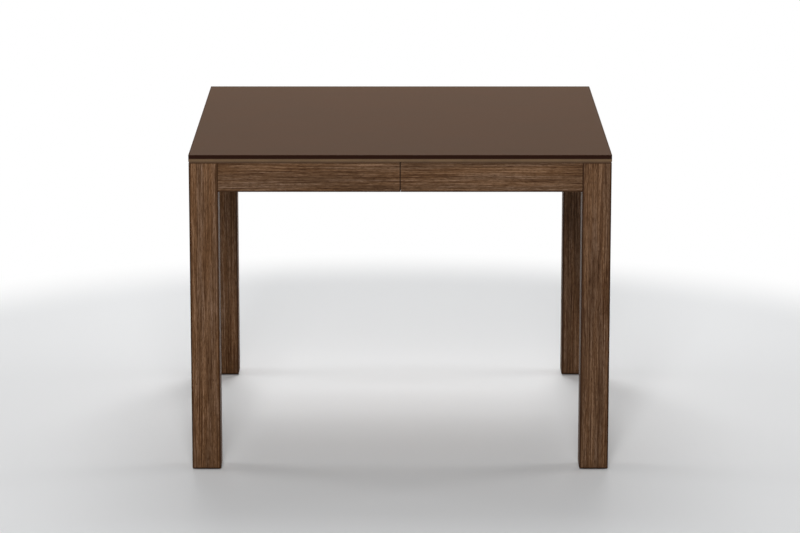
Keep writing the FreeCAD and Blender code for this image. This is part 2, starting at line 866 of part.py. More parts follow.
def lock_lever():
    """A neck from the pivot to a bar that passes inside the stud, with a hook past it."""
    inside = lock_stud_radius + lock_stud_clearance
    past = lock_arm + inside
    outline = [
        (0, -lock_neck),
        (lock_arm - inside - lock_bar_width, inside),
        (past, inside),
        (past, -lock_hook_reach),
        (past + lock_hook_width, -lock_hook_reach),
        (past + lock_hook_width, inside + lock_bar_width),
        (lock_arm - lock_bar_width, inside + lock_bar_width),
        (0, lock_neck),
    ]
    base = FreeCAD.Vector(lock_pivot.x, lock_pivot.y, lock_lever_bottom)
    points = [base + FreeCAD.Vector(a, b, 0) for a, b in outline]
    lever = prism(points, Z_AXIS * lock_lever_thickness)
    hook_tips = []
    for edge in edges_along(lever, Z_AXIS):
        if edge.CenterOfMass.x > base.x + past + lock_hook_width / 2:
            hook_tips.append(edge)
    lever = eased(lever, lock_edge_radius, hook_tips)
    boss = Part.makeCylinder(lock_boss_radius, lock_lever_thickness, base)
    bore = Part.makeCylinder(lock_pivot_radius + lock_pivot_clearance, lock_lever_thickness, base)
    knob_place = FreeCAD.Vector(past + lock_hook_width / 2, inside + lock_bar_width / 2, -lock_knob_height)
    knob = Part.makeCylinder(lock_knob_radius, lock_knob_height, base + knob_place)
    knob = knob.makeChamfer(lock_knob_chamfer, edges_at_height(knob, base.z - lock_knob_height))
    lever = lever.fuse([boss, knob]).removeSplitter().cut(bore).Solids[0]
    return lever.rotated(base, Z_AXIS, lock_parked_angle)


def lock_plate_screw_seats():
    """Two screws along the outer edge of the plate, which the lever doesn't sweep."""
    reach = lock_plate_width / 2 - lock_plate_screw_room
    y = lock_pivot.y - lock_plate_length / 2 + lock_plate_screw_room
    z = rail_bottom - lock_plate_thickness
    return [FreeCAD.Vector(lock_pivot.x + side * reach, y, z) for side in (-1, 1)]


def lock_plate_screw_holes():
    return [screw_hole(seat, Z_AXIS, lock_plate_screw_length) for seat in lock_plate_screw_seats()]


def lock_plate():
    half_x = lock_plate_width / 2
    half_y = lock_plate_length / 2
    plate = block(
        lock_pivot.x - half_x,
        lock_pivot.x + half_x,
        lock_pivot.y - half_y,
        lock_pivot.y + half_y,
        rail_bottom - lock_plate_thickness,
        rail_bottom,
    )
    plate = eased(plate, lock_plate_corner_radius, edges_along(plate, Z_AXIS))
    return cut_all(plate, [lock_pin_bore("left"), *lock_plate_screw_holes()])


def lock_pivot_pin():
    """A headed pin through the lever and the plate, driven into the rail."""
    head_top = lock_lever_bottom - slide_clearance
    head_base = FreeCAD.Vector(lock_pivot.x, lock_pivot.y, head_top - lock_pivot_head_height)
    head = Part.makeCylinder(lock_pivot_head_radius, lock_pivot_head_height, head_base)
    head = head.makeChamfer(screw_head_chamfer, edges_at_height(head, head_base.z))
    stem_base = FreeCAD.Vector(lock_pivot.x, lock_pivot.y, head_top)
    stem = Part.makeCylinder(lock_pivot_radius, rail_bottom + lock_pin_embed - head_top, stem_base)
    return head.fuse(stem).removeSplitter().Solids[0]


def lock_stud():
    """A plain pin driven into the right inner rail, with its lower rim turned down."""
    base = FreeCAD.Vector(lock_x, -lock_y, lock_lever_bottom - slide_clearance)
    pin = Part.makeCylinder(lock_stud_radius, rail_bottom + lock_pin_embed - base.z, base)
    return pin.makeChamfer(bolt_end_chamfer, edges_at_height(pin, base.z)).Solids[0]


def lock_nodes():
    lever = lock_lever()
    screws = [screw(seat, Z_AXIS, lock_plate_screw_length) for seat in lock_plate_screw_seats()]
    return {
        "lock_lever_front": lever,
        "lock_lever_back": to_back(lever),
        "lock_plates": Part.makeCompound(front_and_back(lock_plate())),
        "lock_plate_screws": Part.makeCompound([copy for one in screws for copy in front_and_back(one)]),
        "lock_pivots": Part.makeCompound(front_and_back(lock_pivot_pin())),
        "lock_studs": Part.makeCompound(front_and_back(lock_stud())),
    }


# Leaf: two halves of the same glass and board, stored one on the other on the right rails.
# The right half draws out by the leaf's length and its fit, which makes the opening for it.

def leaf_nodes():
    half_y = (table_depth - leaf_fit) / 4
    nodes = {}
    felts = []
    level = rail_top
    for name in ("lower", "upper"):
        for start in rail_starts.values():
            x = start + (cross_rail_width - felt_width) / 2
            for y in (-half_y, half_y - felt_length):
                felts.append(block(x, x + felt_width, y, y + felt_length, level, level + felt_thickness))
        board_bottom = level + felt_thickness
        nodes[f"leaf_board_{name}"] = backing_board(leaf_start, leaf_end, -half_y, half_y, board_bottom)
        board_top = board_bottom + sub_top_thickness
        nodes[f"leaf_glass_{name}"] = glass_sheet(leaf_start, leaf_end, -half_y, half_y, board_top)
        level = board_top + glass_thickness
    nodes["leaf_felts"] = Part.makeCompound(felts)
    return nodes


# The whole table, one file for each node

nodes = {}
for half in ("left", "right"):
    nodes.update(leg_nodes(half))
    nodes.update(apron_nodes(half))
    nodes.update(rail_nodes(half))
    nodes.update(corner_nodes(half))
nodes.update(top_nodes())
nodes.update(runner_nodes())
nodes.update(bearer_nodes())
nodes.update(gap_strip_nodes())
nodes.update(seam_strip_nodes())
nodes.update(pin_nodes())
nodes.update(lock_nodes())
nodes.update(leaf_nodes())

os.makedirs("parts", exist_ok=True)
for name, shape in sorted(nodes.items()):
    shape.exportStep(f"parts/{name}.step")
print(len(nodes), "nodes written")
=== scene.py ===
import bmesh
import bpy
import math
import numpy as np
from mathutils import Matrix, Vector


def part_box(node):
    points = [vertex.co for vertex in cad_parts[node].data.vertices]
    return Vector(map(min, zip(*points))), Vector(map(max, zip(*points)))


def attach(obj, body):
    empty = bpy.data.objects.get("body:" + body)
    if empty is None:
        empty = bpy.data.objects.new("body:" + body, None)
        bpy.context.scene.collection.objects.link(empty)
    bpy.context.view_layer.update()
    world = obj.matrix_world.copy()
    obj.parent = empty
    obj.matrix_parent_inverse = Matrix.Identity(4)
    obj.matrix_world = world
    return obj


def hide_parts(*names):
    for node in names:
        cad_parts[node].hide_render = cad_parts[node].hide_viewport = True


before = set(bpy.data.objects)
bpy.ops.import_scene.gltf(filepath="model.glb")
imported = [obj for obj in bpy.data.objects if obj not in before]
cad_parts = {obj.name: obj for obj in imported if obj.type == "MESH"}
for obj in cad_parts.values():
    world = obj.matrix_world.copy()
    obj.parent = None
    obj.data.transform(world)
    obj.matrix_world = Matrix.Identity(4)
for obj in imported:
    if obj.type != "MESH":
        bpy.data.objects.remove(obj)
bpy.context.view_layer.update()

# Legs
# Four square walnut posts with eased edges and a chamfered toe, mortised for the aprons. The grain runs up
# the post. Its open pores show through a thin matt stained finish, darkened along the edges by painted
# shade. The left pair is painted a little paler than the right, as painted light falling from the left.


def tint(red, green, blue):
    """A paint colour from 0 to 255 as linear light: the share of 255, with the display curve taken off."""
    share = np.array([red, green, blue]) / 255
    light = np.where(share <= 0.04045, share / 12.92, ((share + 0.055) / 1.055) ** 2.4)
    return (*light.tolist(), 1.0)


def node(tree, kind, inputs=None, **settings):
    """One shader node. Each input is a value for its socket, or another node's output to be joined to it."""
    made = tree.nodes.new("ShaderNode" + kind)
    for key, value in settings.items():
        setattr(made, key, value)
    for key, value in (inputs or {}).items():
        if isinstance(value, bpy.types.NodeSocket):
            tree.links.new(value, made.inputs[key])
        else:
            made.inputs[key].default_value = value
    return made


def calc(tree, operation, *values):
    """The result of a sum on single values."""
    return node(tree, "Math", dict(enumerate(values)), operation=operation).outputs[0]


def place_calc(tree, operation, *values):
    """The result of a sum on places, which have three values each."""
    return node(tree, "VectorMath", dict(enumerate(values)), operation=operation).outputs[0]


def grain_noise(tree, place, across, along, fineness, drift=0.0):
    """Noise whose spots repeat so many times a metre across z and along it. Drift picks another part."""
    spread = place_calc(tree, "MULTIPLY_ADD", place, (across, across, along), (drift, drift, drift))
    sockets = {"Vector": spread, "Scale": 1.0, "Detail": fineness, "Roughness": 0.6}
    return node(tree, "TexNoise", sockets).outputs[0]


def ease(tree, value, start, end, low=0.0, high=1.0):
    """Goes from low to high as value goes from start to end, with a smooth beginning and end."""
    names = ("Value", "From Min", "From Max", "To Min", "To Max")
    sockets = dict(zip(names, (value, start, end, low, high)))
    return node(tree, "MapRange", sockets, interpolation_type="SMOOTHSTEP").outputs[0]


def mixed(tree, share, first, second, way="MIX"):
    """The first colour, going over to the second as share goes from 0 to 1."""
    sockets = {0: share, 6: first, 7: second}
    return node(tree, "Mix", sockets, data_type="RGBA", blend_type=way).outputs[2]


PLACE = ("Vector", (0.0, 0.0, 0.0))
PAINT = ("Color", (0.0, 0.0, 0.0, 1.0))
SURFACE = {"Color": "Color", "Roughness": "Float", "Height": "Float"}


def effect(name, inputs, outputs):
    """An empty shader node group with its named sockets, and its two ends."""
    tree = bpy.data.node_groups.new(name, "ShaderNodeTree")
    for key, (kind, value) in inputs.items():
        socket = tree.interface.new_socket(name=key, in_out="INPUT", socket_type="NodeSocket" + kind)
        socket.default_value = value
    for key, kind in outputs.items():
        tree.interface.new_socket(name=key, in_out="OUTPUT", socket_type="NodeSocket" + kind)
    return tree, tree.nodes.new("NodeGroupInput").outputs, tree.nodes.new("NodeGroupOutput").inputs


def give(tree, end, **results):
    """Joins an effect's results to its outputs."""
    for key, value in results.items():
        tree.links.new(value, end[key])


def placed(tree, group, inputs):
    """The outputs of an effect that is placed in a material."""
    return node(tree, "Group", inputs, node_tree=group).outputs


def finish_of(name, **constants):
    """A new material: its shader with the constant sockets set, and the object's own places."""
    made = bpy.data.materials.new(name)
    made.use_nodes = True
    shader = made.node_tree.nodes["Principled BSDF"]
    for key, value in constants.items():
        shader.inputs[key.replace("_", " ")].default_value = value
    places = node(made.node_tree, "TexCoord").outputs["Object"]
    return made, shader, places


def coat(material, shader, colour, roughness, height, depth, strength):
    """Joins what varies over the surface to the shader. Height is raised by depth, in metres."""
    tree = material.node_tree
    tree.links.new(colour, shader.inputs["Base Color"])
    if roughness is not None:
        tree.links.new(roughness, shader.inputs["Roughness"])
    bump = node(tree, "Bump", {"Strength": strength, "Distance": depth, "Height": height})
    tree.links.new(bump.outputs[0], shader.inputs["Normal"])


def dress(material, *names):
    """Gives the named solids their material."""
    for name in names:
        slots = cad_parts[name].data.materials
        slots.clear()
        slots.append(material)


def arris_effect():
    """Edge is 1 along the arrises of a box-shaped board, for a third of Reach, and falls to 0 at Reach. The
    depth under each pair of faces is the half size less the distance from the middle. On a face the least
    depth is nought, so the sum of the three less the greatest is the distance to the nearest arris."""
    inputs = {
        "Vector": PLACE,
        "Middle": PLACE,
        "Half": ("Vector", (1.0, 1.0, 1.0)),
        "Reach": ("Float", 0.002),
    }
    tree, start, end = effect("arris", inputs, {"Edge": "Float"})
    folded = place_calc(tree, "ABSOLUTE", start["Vector"])
    off = place_calc(tree, "ABSOLUTE", place_calc(tree, "SUBTRACT", folded, start["Middle"]))
    depth = node(tree, "SeparateXYZ", {0: place_calc(tree, "SUBTRACT", start["Half"], off)}).outputs
    total = calc(tree, "ADD", calc(tree, "ADD", depth[0], depth[1]), depth[2])
    greatest = calc(tree, "MAXIMUM", calc(tree, "MAXIMUM", depth[0], depth[1]), depth[2])
    away = calc(tree, "SUBTRACT", total, greatest)
    full = calc(tree, "DIVIDE", start["Reach"], 3.0)
    give(tree, end, Edge=ease(tree, away, full, start["Reach"], 1.0, 0.0))
    return tree


# Each row: repeats a metre across the grain and along it, fineness, drift and share.
WALNUT_STREAKS = {
    "slow_shading": (9.0, 5.0, 0.0, 3.3, 0.45),
    "growth_bands": (70.0, 1.0, 1.0, 5.3, 0.25),
    "broad_streaks": (190.0, 7.0, 1.0, 4.4, 0.3),
    "streaks": (390.0, 4.0, 1.0, 7.7, 1.4),
    "fine_streaks": (640.0, 8.0, 2.0, 1.3, 1.75),
    "flecks": (820.0, 50.0, 2.0, 5.9, 1.3),
    "fibres": (1500.0, 30.0, 2.0, 2.6, 0.9),
}


def open_grain_effect():
    """Walnut with z along the grain. The place sways a few millimetres, and the noises of the streaks are
    added up in their shares. Warmth multiplies the colour in slow patches. Growth lines run thin and dark
    where one more noise passes its middle, and pores are the thin crests of another."""
    sway_reach = 0.010
    tone_span = 0.5
    line_reach = 0.03
    line_share = 0.5
    pore_share = 0.75
    inputs = {
        "Vector": PLACE,
        "Dark": PAINT,
        "Middle": PAINT,
        "Light": PAINT,
        "Warmth": ("Color", (1.06, 0.97, 0.82, 1.0)),
        "Edge": ("Float", 0.0),
    }
    tree, start, end = effect("open_grain", inputs, SURFACE)
    sway = grain_noise(tree, start["Vector"], across=6.0, along=1.6, fineness=1.0).node.outputs["Color"]
    sway = place_calc(tree, "SUBTRACT", sway, (0.5, 0.5, 0.5))
    place = place_calc(tree, "MULTIPLY_ADD", sway, (sway_reach, sway_reach, 0.0), start["Vector"])
    tone = 0.0
    for across, along, fineness, drift, share in WALNUT_STREAKS.values():
        streaks = grain_noise(tree, place, across, along, fineness, drift)
        tone = calc(tree, "MULTIPLY_ADD", calc(tree, "SUBTRACT", streaks, 0.5), share, tone)
    colour = mixed(tree, ease(tree, tone, 0.0, -tone_span), start["Middle"], start["Dark"])
    colour = mixed(tree, ease(tree, tone, 0.0, tone_span), colour, start["Light"])
    patches = grain_noise(tree, place, across=55.0, along=3.0, fineness=1.0, drift=8.3)
    warm = mixed(tree, 1.0, colour, start["Warmth"], "MULTIPLY")
    colour = mixed(tree, ease(tree, patches, 0.35, 0.65), colour, warm)
    rings = grain_noise(tree, place, across=170.0, along=1.1, fineness=1.0, drift=3.1)
    off_middle = calc(tree, "ABSOLUTE", calc(tree, "SUBTRACT", rings, 0.5))
    colour = mixed(tree, ease(tree, off_middle, 0.0, line_reach, line_share, 0.0), colour, start["Dark"])
    crests = grain_noise(tree, place, across=2300.0, along=105.0, fineness=0.0, drift=9.4)
    pore = ease(tree, crests, 0.60, 0.66)
    colour = mixed(tree, calc(tree, "MULTIPLY", pore, pore_share), colour, start["Dark"])
    # Painted shade: the colour goes over to Dark along the arrises, as far as Edge reaches.
    colour = mixed(tree, start["Edge"], colour, start["Dark"])
    rough = calc(tree, "MULTIPLY_ADD", pore, 0.15, 0.5)
    rough = calc(tree, "MULTIPLY_ADD", tone, 0.06, rough)
    raised = calc(tree, "MULTIPLY_ADD", tone, 0.25, 1.0)
    give(tree, end, Color=colour, Roughness=rough, Height=calc(tree, "SUBTRACT", raised, pore))
    return tree


def board_shape(low, high):
    """Middle and half size of a board, folded into the quarter of the table where x and y are positive."""
    middle = (np.array(low) + np.array(high)) / 2
    half = (np.array(high) - np.array(low)) / 2
    return {"Middle": np.abs(middle).tolist(), "Half": half.tolist()}


arris = arris_effect()
open_grain = open_grain_effect()
GRAIN_ALONG = {"x": (0.0, -math.pi / 2, 0.0), "y": (math.pi / 2, 0.0, 0.0), "z": (0.0, 0.0, 0.0)}


def walnut(name, along, shape, reach, stain_and_painted_light):
    """Stained walnut with its grain along one axis, on a board of the given shape. Painted shade darkens the
    arrises within reach."""
    material, shader, places = finish_of(name, Specular_IOR_Level=0.08)
    tree = material.node_tree
    turned = node(tree, "Mapping", {"Vector": places, "Rotation": GRAIN_ALONG[along]}).outputs[0]
    edge = placed(tree, arris, {"Vector": places, **shape, "Reach": reach})["Edge"]
    look = placed(tree, open_grain, {"Vector": turned, "Edge": edge, **stain_and_painted_light})
    coat(material, shader, look["Color"], look["Roughness"], look["Height"], depth=0.00025, strength=0.35)
    return material


# The left posts' paler tones are painted light from the left, and the right posts' deeper tones painted
# shade.
LEFT_LIT_STAIN = {"Dark": tint(52, 30, 10), "Middle": tint(94, 68, 47), "Light": tint(127, 101, 82)}
RIGHT_SHADED_STAIN = {"Dark": tint(47, 26, 9), "Middle": tint(83, 59, 40), "Light": tint(114, 90, 72)}
leg_arris_reach = 0.0055
# Under the top the painted shade line is thinner, so the shape that it follows ends a little above the post.
upper_arris_lift = 0.0025
leg_low, leg_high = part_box("leg_back_right")
leg_shape = board_shape(leg_low, (leg_high.x, leg_high.y, leg_high.z + upper_arris_lift))
for half, stain_and_painted_light in (("left", LEFT_LIT_STAIN), ("right", RIGHT_SHADED_STAIN)):
    post = walnut(f"walnut_post_{half}", "z", leg_shape, leg_arris_reach, stain_and_painted_light)
    dress(post, f"leg_front_{half}", f"leg_back_{half}")

# Foot glides
# A dark nylon disc under each leg, moulded round the nail that is driven up into the end grain. It lets the
# table be pushed along and keeps the wood off a wet floor.


def moulded_effect():
    """Moulded plastic: a soft cloudiness of a few centimetres and a fine stipple from the mould."""
    tree, start, end = effect("moulded", {"Vector": PLACE, "Dark": PAINT, "Light": PAINT}, SURFACE)
    cloud = grain_noise(tree, start["Vector"], across=60.0, along=60.0, fineness=3.0)
    stipple = grain_noise(tree, start["Vector"], across=2600.0, along=2600.0, fineness=1.0, drift=4.0)
    colour = mixed(tree, ease(tree, cloud, 0.3, 0.7), start["Dark"], start["Light"])
    give(tree, end, Color=colour, Roughness=calc(tree, "MULTIPLY_ADD", cloud, 0.25, 0.35), Height=stipple)
    return tree


moulded = moulded_effect()
nylon, nylon_shader, nylon_places = finish_of("dark_nylon", Specular_IOR_Level=0.4)
nylon_paint = {"Dark": tint(38, 32, 28), "Light": tint(54, 46, 40)}
look = placed(nylon.node_tree, moulded, {"Vector": nylon_places, **nylon_paint})
coat(nylon, nylon_shader, look["Color"], look["Roughness"], look["Height"], depth=0.00004, strength=0.5)
dress(nylon, "foot_glides_left", "foot_glides_right")

# Aprons
# Walnut boards flush with the legs, tenoned into them. Those at the front and back are one board sawn
# through in the middle, where the table opens, so the grain runs on across the seam.

BROWN_STAIN = {"Dark": tint(50, 29, 11), "Middle": tint(87, 63, 43), "Light": tint(119, 95, 77)}
apron_arris_reach = 0.0045
# The shape that the painted shade line follows ends inside the leg, so that no line shows at the shoulder.
shoulder_cover = 0.010
apron_low, apron_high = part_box("apron_back_right")
apron_end = leg_low.x + shoulder_cover
apron_top = apron_high.z + upper_arris_lift
side_shape = board_shape((-apron_end, apron_low.y, apron_low.z), (apron_end, apron_high.y, apron_top))
side_board = walnut("walnut_side_apron", "x", side_shape, apron_arris_reach, BROWN_STAIN)
dress(side_board, "apron_front_left", "apron_front_right", "apron_back_left", "apron_back_right")

end_low, end_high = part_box("apron_end_right")
end_shape = board_shape((end_low.x, -apron_end, end_low.z), (end_high.x, apron_end, apron_top))
end_board = walnut("walnut_end_apron", "y", end_shape, apron_arris_reach, BROWN_STAIN)
dress(end_board, "apron_end_left", "apron_end_right")

# Seam strips
# Thin walnut mouldings glued behind the left side aprons. They are coloured nearly black, as painted shade
# in the seam. A tongue on each stands in the seam, so that no light shows through it.

# Nearly black tones: painted shade in the seam.
PAINTED_SEAM_SHADE = {"Dark": tint(24, 14, 8), "Middle": tint(38, 24, 15), "Light": tint(58, 41, 29)}
seam_arris_reach = 0.001
seam_inside = 0.4700
seam_outside = 0.4725
seam_low, seam_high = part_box("seam_strips")
seam_shape = board_shape((seam_low.x, seam_inside, seam_low.z), (seam_high.x, seam_outside, seam_high.z))
dress(walnut("walnut_seam_strip", "z", seam_shape, seam_arris_reach, PAINTED_SEAM_SHADE), "seam_strips")

# Lining-up pins and bushes
# Turned and blued steel pins stand out of the left split faces and enter brass bushes pressed into the right
# ones, so that the two halves of a side apron close flush.


def worked_metal_effect():
    """Metal: a patchy haze of about a centimetre and fine lines drawn out as Lines says, repeats a metre."""
    inputs = {
        "Vector": PLACE,
        "Lines": ("Vector", (1.0, 1.0, 1.0)),
        "Clean": PAINT,
        "Dull": PAINT,
        "Smooth": ("Float", 0.2),
        "Rough": ("Float", 0.4),
    }
    tree, start, end = effect("worked_metal", inputs, SURFACE)
    patch = grain_noise(tree, start["Vector"], across=90.0, along=90.0, fineness=4.0)
    drawn = place_calc(tree, "MULTIPLY", start["Vector"], start["Lines"])
    lines = node(tree, "TexNoise", {"Vector": drawn, "Scale": 1.0, "Detail": 3.0}).outputs[0]
    haze = ease(tree, calc(tree, "MULTIPLY_ADD", lines, 0.8, calc(tree, "MULTIPLY", patch, 0.4)), 0.4, 0.8)
    colour = mixed(tree, haze, start["Clean"], start["Dull"])
    spread = calc(tree, "SUBTRACT", start["Rough"], start["Smooth"])
    rough = calc(tree, "MULTIPLY_ADD", haze, spread, start["Smooth"])
    give(tree, end, Color=colour, Roughness=rough, Height=lines)
    return tree


worked_metal = worked_metal_effect()


def metal(name, clean, dull, smooth, rough, lines):
    """Bare or plated metal: two tones, two roughnesses, and how its drawing or turning lines run."""
    material, shader, places = finish_of(name, Metallic=1.0)
    values = {"Clean": clean, "Dull": dull, "Smooth": smooth, "Rough": rough, "Lines": lines}
    look = placed(material.node_tree, worked_metal, {"Vector": places, **values})
    coat(material, shader, look["Color"], look["Roughness"], look["Height"], depth=0.00003, strength=0.3)
    return material


TURNING_LINES = (3000.0, 120.0, 120.0)
blued_steel = metal(
    "blued_steel", tint(46, 44, 46), tint(30, 28, 28), smooth=0.35, rough=0.5, lines=TURNING_LINES)
turned_brass = metal(
    "turned_brass", tint(214, 178, 104), tint(156, 118, 60), smooth=0.2, rough=0.4, lines=TURNING_LINES)
dress(blued_steel, "alignment_pins")
dress(turned_brass, "alignment_bushes")

# Corner brackets and their fixings
# A pressed steel bracket spans each inside corner, screwed to both aprons. A hanger bolt in the leg passes
# through it and draws the leg home with a washer and nut. All of it is zinc plated.

PLATING_GRAIN = (900.0, 900.0, 900.0)
zinc = metal(
    "zinc_plate", tint(206, 209, 213), tint(184, 187, 191), smooth=0.3, rough=0.42, lines=PLATING_GRAIN)
dress(zinc, "corner_brackets_left", "corner_brackets_right", "bolt_washers_left", "bolt_washers_right")
dress(zinc, "bolt_nuts_left", "bolt_nuts_right")


def skin(rings):
    """Closes a stack of rings into one surface: four-sided faces between neighbouring rings, and a fan from
    the first and the last ring to their middles."""
    count, spokes = rings.shape[:2]
    points = np.concatenate([rings.reshape(-1, 3), rings[[0, -1]].mean(axis=1)])
    ring, spoke = np.meshgrid(np.arange(count - 1), np.arange(spokes), indexing="ij")
    here = ring * spokes + spoke
    beside = ring * spokes + (spoke + 1) % spokes
    sides = np.stack([here, beside, beside + spokes, here + spokes], axis=-1).reshape(-1, 4)
    turn = np.arange(spokes)
    onward = (turn + 1) % spokes
    first_middle = np.full(spokes, count * spokes)
    last_ring = (count - 1) * spokes
    first = np.stack([onward, turn, first_middle], axis=-1)
    last = np.stack([turn + last_ring, onward + last_ring, first_middle + 1], axis=-1)
    return points, sides, np.concatenate([first, last])


def set_out(local, seats, ways):
    """Copies of a shape drawn with its third axis along the driving way, one at each seat. Each copy's other
    two axes are square to its way."""
    ways = np.asarray(ways, float)
    helper = np.where(np.abs(ways[:, 2:]) > 0.9, (1.0, 0.0, 0.0), (0.0, 0.0, 1.0))
    across = np.cross(helper, ways)
    across /= np.linalg.norm(across, axis=1, keepdims=True)
    upright = np.cross(ways, across)
    axes = np.stack([across, upright, ways], axis=1)
    return np.asarray(seats, float)[:, None] + np.einsum("pa,kab->kpb", local, axes)


sharp_from_degrees = 35


def piece(name, copies, sides, fans, material, body, replaced):
    """A mesh of one or more copies of a closed shape, with its faces turned outwards."""
    count, size = copies.shape[:2]
    shift = np.arange(count)[:, None, None] * size
    faces = (sides + shift).reshape(-1, 4).tolist() + (fans + shift).reshape(-1, 3).tolist()
    mesh = bpy.data.meshes.new(name)
    mesh.from_pydata(copies.reshape(-1, 3).tolist(), [], faces)
    work = bmesh.new()
    work.from_mesh(mesh)
    bmesh.ops.recalc_face_normals(work, faces=work.faces)
    work.to_mesh(mesh)
    work.free()
    mesh.polygons.foreach_set("use_smooth", np.ones(len(mesh.polygons), bool))
    mesh.set_sharp_from_angle(angle=math.radians(sharp_from_degrees))
    mesh.materials.append(material)
    made = bpy.data.objects.new(name, mesh)
    bpy.context.scene.collection.objects.link(made)
    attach(made, body)
    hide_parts(replaced)
    return made


def groove(along, turn, pitch):
    """How deep a thread is cut, from 0 to 1: a triangle wave of the height over the pitch less the angle over
    one turn."""
    return 1 - np.abs(2 * ((along / pitch - turn / (2 * math.pi)) % 1.0) - 1)


screw_head_radius = 0.0042
screw_head_height = 0.0020
screw_rim_share = 0.42
SCREW_CROWN = np.array([0.06, 0.14, 0.2, 0.26, 0.33, 0.4, 0.47, 0.54, 0.61, 0.7, 0.8, 0.89, 0.96])
crown_flat_share = 0.45
crown_power = 2.4
screw_shank_radius = 0.0020
screw_thread_pitch = 0.0018
screw_thread_depth = 0.0006
screw_neck = 0.0015
screw_tip_length = 0.003
screw_tip_share = 0.08
recess_half_width = 0.00075
recess_half_length = 0.0026
recess_depth = 0.0011
recess_side_slope = 0.0003
recess_end_slope = 0.0005
screw_spokes = 48
rings_a_turn = 6


def screw_shape(length):
    """A pan-head screw with a cross recess, driven along +z from its seat at z = 0. The head is a list of
    radii and levels turned about z, flat in the middle and falling by a power of the radius. Inside the
    recess the crown is lowered by depth times the share that two crossing bars cover: each bar is a smooth
    step in its width times a smooth step in its length. Below the neck the thread is cut into the shank,
    which tapers at the tip."""
    turn = np.linspace(0, 2 * math.pi, screw_spokes, endpoint=False)
    fall = np.clip((SCREW_CROWN - crown_flat_share) / (1 - crown_flat_share), 0, 1) ** crown_power
    head_levels = screw_head_height * np.concatenate([fall / 2 - 1, [-screw_rim_share, 0.0]])
    head_radii = screw_head_radius * np.concatenate([SCREW_CROWN, [1.0, 1.0]])
    shank = np.linspace(0, length, round(length / screw_thread_pitch * rings_a_turn))[:, None]
    cut = groove(shank, turn, screw_thread_pitch) * np.clip(shank / screw_neck - 1, 0, 1)
    taper = np.clip((length - shank) / screw_tip_length, screw_tip_share, 1)
    shank_radii = (screw_shank_radius - screw_thread_depth * cut) * taper
    radii = np.concatenate([np.repeat(head_radii[:, None], screw_spokes, axis=1), shank_radii])
    levels = np.concatenate([head_levels[:, None], shank])
    x = radii * np.cos(turn)
    y = radii * np.sin(turn)
    near = np.minimum(np.abs(x), np.abs(y))
    far = np.maximum(np.abs(x), np.abs(y))
    bar = np.clip((recess_half_width - near) / recess_side_slope, 0, 1)
    bar = bar * np.clip((recess_half_length - far) / recess_end_slope, 0, 1)
    lowered = bar * bar * (3 - 2 * bar) * recess_depth
    z = levels + np.where(levels < -screw_head_height / 4, lowered, 0)
    return skin(np.stack([x, y, z], axis=-1))


def screws(name, length, seats, ways, body, replaced):
    """Plated screws of one length, one at each seat."""
    points, sides, fans = screw_shape(length)
    piece(name, set_out(points, seats, ways), sides, fans, zinc, body, replaced)


bolt_radius = 0.004
bolt_in_leg = 0.042
bolt_outside = 0.03225
metal_thread_pitch = 0.00125
metal_thread_depth = 0.0007
wood_thread_pitch = 0.003
wood_thread_depth = 0.0011
bolt_bevel = 0.0012
bolt_bevel_share = 0.3
bolt_end_share = 0.25
bolt_point = 0.007
bolt_tip_share = 0.04
bolt_rings = 430
bolt_spokes = 28


def bolt_shape():
    """A hanger bolt along z, with a coarse wood thread in the leg, below z = 0, and a fine one outside. Its
    radius is less by the thread's depth times its groove. It draws in to a point in the leg and to a bevel at
    the outer end."""
    levels = np.linspace(-bolt_in_leg, bolt_outside, bolt_rings)[:, None]
    turn = np.linspace(0, 2 * math.pi, bolt_spokes, endpoint=False)
    pitch = np.where(levels < 0, wood_thread_pitch, metal_thread_pitch)
    depth = np.where(levels < 0, wood_thread_depth, metal_thread_depth)
    bevel = 1 - bolt_bevel_share * (1 - np.clip((bolt_outside - levels) / bolt_bevel, bolt_end_share, 1))
    point = np.clip((levels + bolt_in_leg) / bolt_point, bolt_tip_share, 1)
    radius = (bolt_radius - depth * groove(levels, turn, pitch)) * bevel * point
    x = radius * np.cos(turn)
    y = radius * np.sin(turn)
    z = np.repeat(levels, bolt_spokes, axis=1)
    return skin(np.stack([x, y, z], axis=-1))


apron_inside = 0.4725
frame_middle = (apron_low.z + apron_high.z) / 2
bracket_sheet = 0.0025
bracket_screw_length = 0.016
bracket_screw_along = 0.126756
bracket_screw_half_spacing = 0.012
bolt_from_corner = 0.042

bolt_points, bolt_sides, bolt_fans = bolt_shape()
HALVES = (("left", -1, "fixed_half"), ("right", 1, "moving_half"))
for half, side, body in HALVES:
    seats = []
    ways = []
    bolt_seats = []
    bolt_ways = []
    for face in (-1, 1):
        for level in (-1, 1):
            z = frame_middle + level * bracket_screw_half_spacing
            along = apron_inside - bracket_screw_along
            home = apron_inside - bracket_sheet
            seats += [(side * along, face * home, z), (side * home, face * along, z)]
            ways += [(0, face, 0), (side, 0, 0)]
        corner = apron_inside - bolt_from_corner
        bolt_seats.append((side * corner, face * corner, frame_middle))
        bolt_ways.append((-side * math.sqrt(0.5), -face * math.sqrt(0.5), 0))
    screws(f"recessed_bracket_screws_{half}", bracket_screw_length, seats, ways, body,
           f"bracket_screws_{half}")
    rods = set_out(bolt_points, bolt_seats, bolt_ways)
    piece(f"threaded_hanger_bolts_{half}", rods, bolt_sides, bolt_fans, zinc, body,
          f"hanger_bolts_{half}")

# Cross rails
# Planed beech slats housed into the side aprons. They tie the frame together under the top and carry the
# runners.


